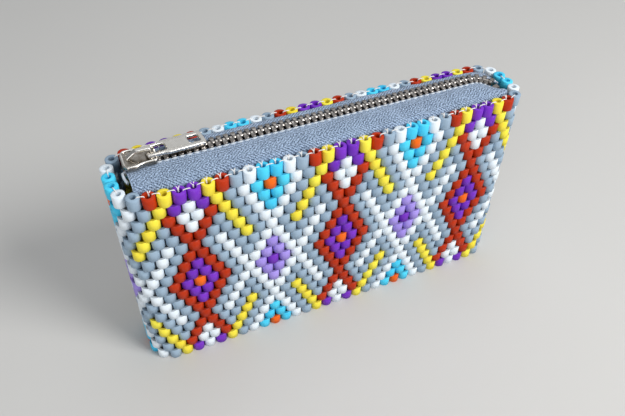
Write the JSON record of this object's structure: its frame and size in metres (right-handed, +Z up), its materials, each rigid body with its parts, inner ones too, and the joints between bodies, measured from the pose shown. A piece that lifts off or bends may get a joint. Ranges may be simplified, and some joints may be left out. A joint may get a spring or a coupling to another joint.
{
  "type": "beaded zip pouch",
  "caption": "Box-shaped pouch of stitched tube beads in a diamond and flower pattern, with a metal zip, slider and pull along its mouth.",
  "frame": {"origin": "on the table under the middle of the pouch, at the middle of the base of its bounding box", "axes": "+X along the zip, from the slider's closed end to the other end; +Y from the front face to the back face; +Z up"},
  "size_m": [0.171, 0.0334, 0.0988],
  "materials": {
    "beads": "satin",
    "base_beads": "satin",
    "tape": "matte",
    "teeth": "satin",
    "slider": "gloss"
  },
  "bodies": {
    "pouch": {"beaded_body": "beads", "base_panel": "base_beads", "front_tape": "tape", "back_tape": "tape", "front_teeth": "teeth", "back_teeth": "teeth", "front_top_stop": "teeth", "back_top_stop": "teeth", "bottom_stop": "teeth"},
    "slider": {"slider_body": "slider"},
    "pull": {"pull_tab": "slider"}
  },
  "joints": [
    {"name": "slider_slide", "type": "slide", "parent": "pouch", "child": "slider", "axis": [1, 0, 0], "range_m": [0, 0.131], "deforming": ["front_teeth", "back_teeth"]},
    {"name": "pull_hinge", "type": "hinge", "parent": "slider", "child": "pull", "pos_m": [-0.06833, 0.0029, 0.0969], "axis": [0, -1, 0], "range_deg": [0, 150]}
  ]
}
